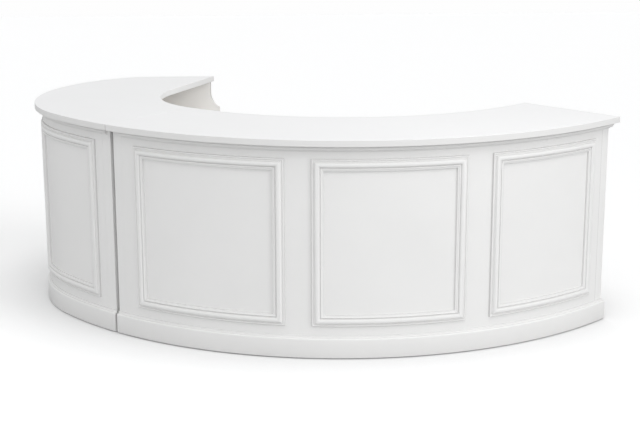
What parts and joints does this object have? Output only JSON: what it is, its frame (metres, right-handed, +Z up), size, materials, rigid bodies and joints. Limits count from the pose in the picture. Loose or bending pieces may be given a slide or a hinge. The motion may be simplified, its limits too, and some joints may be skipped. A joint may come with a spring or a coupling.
{
  "type": "bar counter",
  "caption": "Curved bar counter in joined modules: thick tops, crown moulding, picture-frame panels, skirting, staff worktop and shelves, and levelling feet.",
  "frame": {"origin": "on the floor, under the middle of the bounding box", "axes": "+X to the right for someone facing the panelled front of the main module, +Y from that front to the staff side, +Z up"},
  "size_m": [3.0561, 2, 1.1],
  "materials": {
    "painted_front": "satin white paint",
    "painted_inside": "satin off-white paint",
    "bare_wood": "planed, unpainted",
    "steel": "zinc-plated"
  },
  "bodies": {
    "counter": {"main_top": "painted_front", "return_top": "painted_front", "main_skin": "painted_front", "return_skin": "painted_front", "main_crown": "painted_front", "return_crown": "painted_front", "main_skirting": "painted_front", "return_skirting": "painted_front", "main_panel_frame_1": "painted_front", "main_panel_frame_2": "painted_front", "main_panel_frame_3": "painted_front", "return_panel_frame_1": "painted_front", "return_panel_frame_2": "painted_front", "main_left_post": "painted_front", "main_right_post": "painted_front", "return_near_post": "painted_front", "return_far_post": "painted_front", "main_left_gable": "painted_inside", "main_right_gable": "painted_inside", "return_near_gable": "painted_inside", "return_far_gable": "painted_inside", "main_worktop": "painted_inside", "return_worktop": "painted_inside", "main_shelf": "painted_inside", "return_shelf": "painted_inside", "main_deck": "painted_inside", "return_deck": "painted_inside", "main_divider_1": "painted_inside", "main_divider_2": "painted_inside", "return_divider": "painted_inside", "main_bracket_1": "painted_inside", "main_bracket_2": "painted_inside", "return_bracket": "painted_inside", "main_front_former": "bare_wood", "return_front_former": "bare_wood", "main_top_bearer": "bare_wood", "return_top_bearer": "bare_wood", "main_kick_board": "painted_inside", "return_kick_board": "painted_inside", "foot_blocks": "bare_wood", "foot_inserts": "steel", "module_bolts": "steel"},
    "levelling_foot_1": {"foot_1": "steel"},
    "levelling_foot_2": {"foot_2": "steel"},
    "levelling_foot_3": {"foot_3": "steel"},
    "levelling_foot_4": {"foot_4": "steel"},
    "levelling_foot_5": {"foot_5": "steel"},
    "levelling_foot_6": {"foot_6": "steel"},
    "levelling_foot_7": {"foot_7": "steel"},
    "levelling_foot_8": {"foot_8": "steel"},
    "levelling_foot_9": {"foot_9": "steel"},
    "levelling_foot_10": {"foot_10": "steel"},
    "levelling_foot_11": {"foot_11": "steel"}
  },
  "joints": [
    {"name": "foot_1_thread", "type": "slide", "parent": "counter", "child": "levelling_foot_1", "axis": [0, 0, -1], "range_m": [0, 0.02]},
    {"name": "foot_2_thread", "type": "slide", "parent": "counter", "child": "levelling_foot_2", "axis": [0, 0, -1], "range_m": [0, 0.02]},
    {"name": "foot_3_thread", "type": "slide", "parent": "counter", "child": "levelling_foot_3", "axis": [0, 0, -1], "range_m": [0, 0.02]},
    {"name": "foot_4_thread", "type": "slide", "parent": "counter", "child": "levelling_foot_4", "axis": [0, 0, -1], "range_m": [0, 0.02]},
    {"name": "foot_5_thread", "type": "slide", "parent": "counter", "child": "levelling_foot_5", "axis": [0, 0, -1], "range_m": [0, 0.02]},
    {"name": "foot_6_thread", "type": "slide", "parent": "counter", "child": "levelling_foot_6", "axis": [0, 0, -1], "range_m": [0, 0.02]},
    {"name": "foot_7_thread", "type": "slide", "parent": "counter", "child": "levelling_foot_7", "axis": [0, 0, -1], "range_m": [0, 0.02]},
    {"name": "foot_8_thread", "type": "slide", "parent": "counter", "child": "levelling_foot_8", "axis": [0, 0, -1], "range_m": [0, 0.02]},
    {"name": "foot_9_thread", "type": "slide", "parent": "counter", "child": "levelling_foot_9", "axis": [0, 0, -1], "range_m": [0, 0.02]},
    {"name": "foot_10_thread", "type": "slide", "parent": "counter", "child": "levelling_foot_10", "axis": [0, 0, -1], "range_m": [0, 0.02]},
    {"name": "foot_11_thread", "type": "slide", "parent": "counter", "child": "levelling_foot_11", "axis": [0, 0, -1], "range_m": [0, 0.02]}
  ]
}
